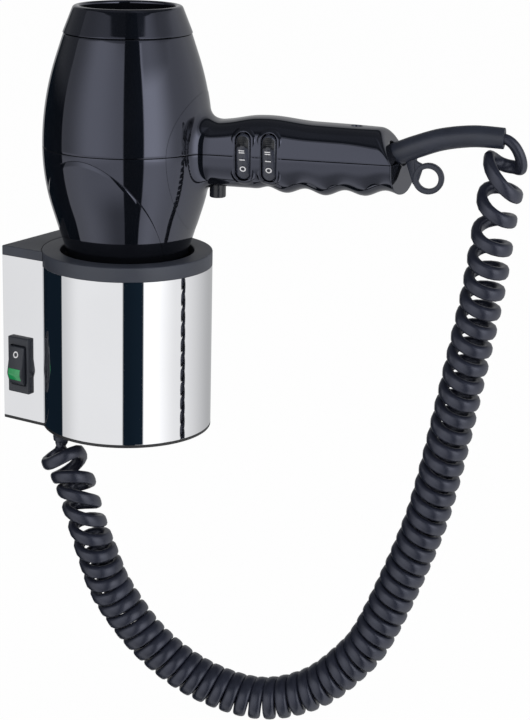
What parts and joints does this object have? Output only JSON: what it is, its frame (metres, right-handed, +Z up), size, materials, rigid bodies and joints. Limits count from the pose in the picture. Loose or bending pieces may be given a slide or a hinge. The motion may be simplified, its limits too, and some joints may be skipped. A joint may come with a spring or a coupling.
{
  "type": "wall hair dryer holder",
  "caption": "Wall holder with a chrome cup and side power rocker; a black hair dryer stands nozzle-down in the cup, tied to it by a hanging spiral cord.",
  "frame": {"origin": "middle of the wall plate's back face, on the wall", "axes": "+X to the right as one faces the wall, +Y into the wall, +Z up"},
  "size_m": [0.1248, 0.2725, 0.4075],
  "materials": {
    "chrome_shell": "polished",
    "anthracite": "satin",
    "dark_base": "satin",
    "cup_plastic": "satin",
    "soft_rubber": "matte",
    "cord_jacket": "satin",
    "screw_steel": "brushed",
    "switch_plastic": "satin",
    "green_lens": "gloss",
    "terminal_plastic": "matte",
    "gloss_housing": "gloss",
    "grille_plastic": "satin",
    "duct_plastic": "matte",
    "motor_steel": "satin",
    "fan_plastic": "satin",
    "mica": "matte",
    "heating_wire": "satin",
    "shield_steel": "satin",
    "fuse_brass": "satin",
    "rocker_plastic": "satin",
    "spring_steel": "satin",
    "clamp_plastic": "matte"
  },
  "bodies": {
    "holder": {"wall_plate": "anthracite", "holder_shell": "chrome_shell", "top_cover": "anthracite", "collar_ring": "anthracite", "inner_cup": "cup_plastic", "well_floor": "cup_plastic", "seat_ring": "soft_rubber", "base_plate": "dark_base", "base_screws": "screw_steel", "power_switch_body": "switch_plastic", "terminal_block": "terminal_plastic", "cord_gland": "soft_rubber", "cord_lead": "cord_jacket", "spiral_cord": "cord_jacket"},
    "power_rocker": {"power_rocker": "switch_plastic", "power_lens": "green_lens"},
    "dryer": {"rear_housing": "gloss_housing", "front_housing": "gloss_housing", "intake_ring": "gloss_housing", "intake_grille": "grille_plastic", "fan_duct": "duct_plastic", "motor_can": "motor_steel", "mica_boards": "mica", "heater_coils": "heating_wire", "heat_shield": "shield_steel", "thermostat": "shield_steel", "thermal_fuse": "fuse_brass", "outlet_grille": "grille_plastic", "fan_switch_body": "rocker_plastic", "heat_switch_body": "rocker_plastic", "button_spring": "spring_steel", "button_switch": "switch_plastic", "cord_clamp": "clamp_plastic", "handle_screw": "screw_steel", "bend_sleeve": "soft_rubber"},
    "rotor": {"motor_shaft": "screw_steel", "impeller": "fan_plastic"},
    "fan_rocker": {"fan_rocker": "rocker_plastic"},
    "heat_rocker": {"heat_rocker": "rocker_plastic"},
    "push_button": {"push_button": "grille_plastic"}
  },
  "joints": [
    {"name": "dryer_lift", "type": "slide", "parent": "holder", "child": "dryer", "axis": [0, 0, 1], "range_m": [0, 0.08]},
    {"name": "fan_spin", "type": "hinge", "parent": "dryer", "child": "rotor", "pos_m": [0, -0.062, 0.15], "axis": [0, 0, 1], "continuous": true},
    {"name": "power_toggle", "type": "hinge", "parent": "holder", "child": "power_rocker", "pos_m": [-0.0364, -0.0128, -0.017], "axis": [0, -1, 0], "range_deg": [0, 12]},
    {"name": "fan_select", "type": "hinge", "parent": "dryer", "child": "fan_rocker", "pos_m": [0.00939, -0.13297, 0.11], "axis": [-0.309, 0.9511, 0], "range_deg": [0, 18]},
    {"name": "heat_select", "type": "hinge", "parent": "dryer", "child": "heat_rocker", "pos_m": [0.01381, -0.14657, 0.11], "axis": [-0.309, 0.9511, 0], "range_deg": [0, 18]},
    {"name": "button_press", "type": "slide", "parent": "dryer", "child": "push_button", "axis": [0, 0, 1], "range_m": [0, 0.003], "stiffness_N_per_m": 400, "deforming": ["button_spring"]}
  ]
}
